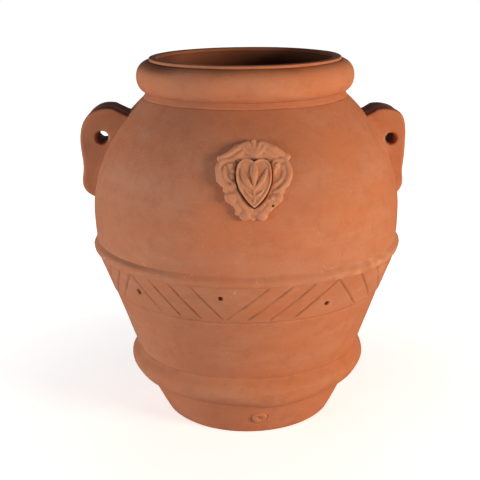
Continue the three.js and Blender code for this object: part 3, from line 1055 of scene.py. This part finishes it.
frame_bm = bmesh.new()
plate(frame_bm, [Vector(p) for p in FRAME_EDGE], -6, GROUND)
for place, radius, height in (
    ((-46, 30), 5.5, 6), ((47, 31), 6, 6), ((-32, 20), 4, 10), ((32, 19), 4, 10), ((-27, -8), 5.5, 9),
    ((-34, -25), 8.5, 5.5), ((-14, -50), 8, 6), ((-2, -55), 3.5, 5), ((10.5, -50), 8.5, 6.5),
    ((18, -41), 6.5, 7.5), ((33, -27), 8.5, 6), ((25, -28), 4, 10), ((-50, 13), 4.5, 6.5),
    ((-49, -1), 4.5, 6.5), ((50, 10), 5, 6.5), ((46, -8), 5.5, 6.5), ((-40, -15), 4.5, 6),
    ((38, -18), 5.5, 7), ((-24, -46), 4.5, 6), ((-31, -33), 4, 7), ((-28, 12), 4.5, 8.5),
    ((28, 11), 4.5, 8.5), ((-30, 4), 4, 8), ((-22, 48), 4.5, 7), ((24, 47), 5, 7), ((36, 38), 5, 8),
):
    bead(frame_bm, place, radius, height)
rolls = clay_rolls()
roll(rolls, [(-45, 31), (-36, 36), (-24, 44), (-14, 50), (-7, 54)], [8, 9, 9.5, 9, 6], 8.5)
roll(rolls, [(-35, 27), (-26, 31), (-17, 38), (-11, 43)], [6, 8, 8, 5], 8)
roll(rolls, [(9, 53), (18, 49), (30, 42), (42, 34)], [7, 10, 11.5, 8], 8.5)
roll(rolls, [(12, 43), (22, 36.5), (33, 31)], [6, 8.5, 6], 8)
roll(rolls, [(11, 35), (19, 31), (27, 26)], [4, 5, 4], 8)
for lean in range(-2, 3):
    angle = math.radians(lean * 24)
    root = Vector((1, 32))
    tip = root + Vector((math.sin(angle), math.cos(angle))) * (23 - abs(lean) * 2.4)
    roll(rolls, [root, root.lerp(tip, 0.55), tip], [4, 7, 8], 9.5)
roll(rolls, [(-33, 27), (-42, 26), (-49, 18), (-50, 6), (-46, -4), (-38, -10), (-29, -11)],
     [6, 7, 8, 8.5, 9, 9, 8], 8.5)
roll(rolls, [(-40, 18), (-42, 9), (-39, 1), (-31, -3)], [4, 6, 6.5, 5], 8.5)
scroll(rolls, (-32, 20), 100, -1, 7.5, 5.5, 9)
scroll(rolls, (-34, -25), 40, -1.1, 7.5, 5, 9.5)
roll(rolls, [(-24, -16), (-22, -25), (-18, -34), (-12, -42)], [6, 8, 8, 6], 8.5)
roll(rolls, [(-28, -36), (-24, -41), (-19, -44)], [6, 7, 5], 7.5)
roll(rolls, [(-16, -28), (-12, -35), (-6, -44)], [4, 5, 5], 8)
roll(rolls, [(-7, -45), (0, -47.5), (7, -44)], [5, 6, 5], 8)
scroll(rolls, (25, -28), 200, 1.1, 8, 6, 9.5)
roll(rolls, [(17, -29), (13, -35), (6, -43)], [5, 6, 5], 8)
roll(rolls, [(34, 26), (42, 25), (48, 16), (49.5, 4), (45, -8), (37, -16), (29, -18)],
     [6, 7, 9, 10, 10, 9, 7], 8.5)
roll(rolls, [(40, 17), (42, 7), (38, -2), (29, -8)], [4, 6, 6.5, 5], 8.5)
scroll(rolls, (32, 19), 80, 1, 7.5, 5.5, 9)
with_rolls(frame_bm, rolls)
# A lump of clay pulled out of the mould here and left a pit.
pit = [Vector((24.4 + 2 * math.sin(k), -38 + 2 * math.cos(k))) for k in range(6)]
cartouche = piece("cartouche", moulded(frame_bm, (shield_edge(0.9), pit)), relief_clay)
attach(cartouche, "root")
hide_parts("medallion_frame")

# The shield, a thick crowned plate with a low raised border.
SHIELD_FACE = 12

shield_bm = bmesh.new()
plate(shield_bm, shield_edge(-0.8), -6, SHIELD_FACE - 2.5)
plate(shield_bm, shield_edge(-3.5), 0, SHIELD_FACE)
rolls = clay_rolls()
border = [(p.x, p.y) for p in shield_edge(-2.8)[::3]]
roll(rolls, border + border[:1], [3.6] * (len(border) + 1), SHIELD_FACE - 0.2)
with_rolls(shield_bm, rolls, 0.95)
shield = piece("shield", moulded(shield_bm, rounds=3), relief_clay)
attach(shield, "root")
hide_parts("medallion_shield")

# The sprig on the shield: a stem with one upright leaf and two pairs of side leaves.
SPRIG_FLAT = 0.8
SPRIG = SHIELD_FACE * 0.95 / SPRIG_FLAT  # height of its middle, so that it is half sunk in the shield

sprig_bm = bmesh.new()
rolls = clay_rolls()
roll(rolls, [(0, -10), (0, 0), (0, 9), (0, 17), (0, 23)], [4, 8, 12, 9, 3.5], SPRIG)
for way in (-1, 1):
    roll(
        rolls,
        [(way * 1, -15), (way * 6, -9), (way * 11, -2), (way * 15, 6), (way * 17, 13)],
        [3.5, 6.5, 8.5, 7, 3], SPRIG,
    )
    roll(rolls, [(way * 1, -25), (way * 6, -22), (way * 12, -16)], [3.5, 6, 3], SPRIG)
roll(rolls, [(0, -9), (0, -20), (0, -32)], [4, 4.5, 3.5], SPRIG)
with_rolls(sprig_bm, rolls, SPRIG_FLAT)
sprig = piece("sprig", moulded(sprig_bm, voxel=0.6), relief_clay)
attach(sprig, "root")
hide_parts("medallion_sprig")


# ------------ tap boss
# A button of clay is pressed on low down at the front, where such a jar is tapped, with a ring
# pressed round it and a small hole pricked in it.

BOSS_ANGLE = 4
BOSS_LEAN = 26
BOSS_HEIGHT = 36

boss_bm = turned(
    outline(
        (0, -7), ((16, -7),), ((16, 0.2),), ((15, 0.4), (14, 0.1)), ((13, -0.9), (12.4, -0.6)),
        ((12, 3.0), (9, 3.2)), ((6.5, 3.3), (5, 2.7)), ((3.4, 2.1), (2.8, 0.8)), ((2.6, -4.5),), ((0, -4.5),),
        every=0.9,
    ),
    on_axis=True, steps=64,
)
boss_tilt = Matrix.Rotation(math.pi / 2 + math.radians(BOSS_LEAN), 4, "X")
bmesh.ops.transform(boss_bm, verts=boss_bm.verts, matrix=boss_tilt)
foot_share = (BOSS_HEIGHT - FOOT_SIDE[1]) / (FOOT_TOP[1] - FOOT_SIDE[1])
boss_radius = (FOOT_SIDE[0] + foot_share * (FOOT_TOP[0] - FOOT_SIDE[0])) * MM
bmesh.ops.translate(boss_bm, verts=boss_bm.verts, vec=(0, -boss_radius, BOSS_HEIGHT * MM))
bmesh.ops.rotate(
    boss_bm, verts=boss_bm.verts, cent=(0, 0, 0), matrix=Matrix.Rotation(math.radians(BOSS_ANGLE), 3, "Z"),
)
boss_bm.normal_update()
boss = piece("tap_button", settled(boss_bm), roll_clay)
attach(boss, "root")
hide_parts("tap_boss")


# ------------ floor
# A plain pale studio floor.

floor_bm = bmesh.new()
bmesh.ops.create_grid(floor_bm, x_segments=1, y_segments=1, size=12)
floor_mesh = bpy.data.meshes.new("floor")
floor_bm.to_mesh(floor_mesh)
floor_bm.free()
floor = put_down("floor", floor_mesh)
pale = bpy.data.materials.new("pale_floor")
pale.use_nodes = True
floor_tree = pale.node_tree
floor_shader = floor_tree.nodes["Principled BSDF"]
floor_shader.inputs["Base Color"].default_value = (0.88, 0.87, 0.86, 1)
floor_shader.inputs["Roughness"].default_value = 0.9
spot = node(floor_tree, "ShaderNodeTexCoord").outputs["Object"]
apart = node(floor_tree, "ShaderNodeVectorMath", operation="LENGTH")
floor_tree.links.new(spot, apart.inputs[0])
shine = ramp(floor_tree, apart.outputs["Value"], 0.15, 1.0, 0.66, 1.0)
camera_ray = node(floor_tree, "ShaderNodeLightPath").outputs["Is Camera Ray"]
seen_floor = maths(floor_tree, "MULTIPLY", shine, camera_ray)
floor_shader.inputs["Emission Color"].default_value = (1, 1, 1, 1)
floor_tree.links.new(seen_floor, floor_shader.inputs["Emission Strength"])
floor_mesh.materials.append(pale)


# ------------ light
# A low warm key from the right of the front, a wide soft fill from the left, and a faint one
# from behind.

def lamp(name, azimuth, height, distance, wide, tall, power, color):
    """A soft panel of light at an azimuth round the jar, from the front towards its right."""
    light = bpy.data.lights.new(name, "AREA")
    light.shape = "RECTANGLE"
    light.size = wide
    light.size_y = tall
    light.energy = power
    light.color = color
    lit = put_down(name, light)
    angle = math.radians(azimuth)
    lit.location = (distance * math.sin(angle), -distance * math.cos(angle), height)
    target = Vector((0, 0, 0.3))
    lit.rotation_euler = (target - lit.location).to_track_quat("-Z", "Y").to_euler()


lamp("key", 54, 0.74, 2.6, 0.8, 0.7, 60, (1.0, 0.76, 0.55))
lamp("fill", -66, 0.42, 2.6, 2.8, 0.8, 44, (1.0, 0.98, 0.97))
lamp("back", 175, 1.5, 3.0, 2.0, 2.0, 16, (1.0, 0.97, 0.94))

sky = bpy.data.worlds.new("studio")
bpy.context.scene.world = sky
sky.use_nodes = True
sky_tree = sky.node_tree
lit_by = sky_tree.nodes["Background"]
lit_by.inputs["Color"].default_value = (0.95, 0.95, 1.0, 1)
lit_by.inputs["Strength"].default_value = 0.05
seen = node(sky_tree, "ShaderNodeBackground", Strength=1.0)
seen.inputs["Color"].default_value = (1, 1, 1, 1)
path = node(sky_tree, "ShaderNodeLightPath")
both = node(sky_tree, "ShaderNodeMixShader")
sky_tree.links.new(path.outputs["Is Camera Ray"], both.inputs["Fac"])
sky_tree.links.new(lit_by.outputs["Background"], both.inputs[1])
sky_tree.links.new(seen.outputs["Background"], both.inputs[2])
sky_tree.links.new(both.outputs["Shader"], sky_tree.nodes["World Output"].inputs["Surface"])
bpy.context.scene.view_settings.view_transform = "Standard"


# ------------ camera
# A portrait lens a little above the jar and a little to the left of its front.

CAMERA_DISTANCE = 1.5477
CAMERA_HEIGHT = 0.7515
CAMERA_AZIMUTH = 2.75  # degrees that the camera stands to the left of the medallion's axis
CAMERA_PITCH = 16.63
CAMERA_YAW = 0.415
CAMERA_ROLL = 0.59
CAMERA_LENS = 70.93

camera_data = bpy.data.cameras.new("camera")
camera_data.sensor_width = 36
camera_data.lens = CAMERA_LENS
camera = put_down("camera", camera_data)
turn = math.radians(CAMERA_AZIMUTH)
stand = (-CAMERA_DISTANCE * math.sin(turn), -CAMERA_DISTANCE * math.cos(turn), CAMERA_HEIGHT)
heading = Matrix.Rotation(-math.radians(CAMERA_AZIMUTH - CAMERA_YAW), 4, "Z")
tilt = Matrix.Rotation(math.radians(90 - CAMERA_PITCH), 4, "X")
lean = Matrix.Rotation(-math.radians(CAMERA_ROLL), 4, "Z")
camera.matrix_world = Matrix.Translation(stand) @ heading @ tilt @ lean
bpy.context.scene.camera = camera
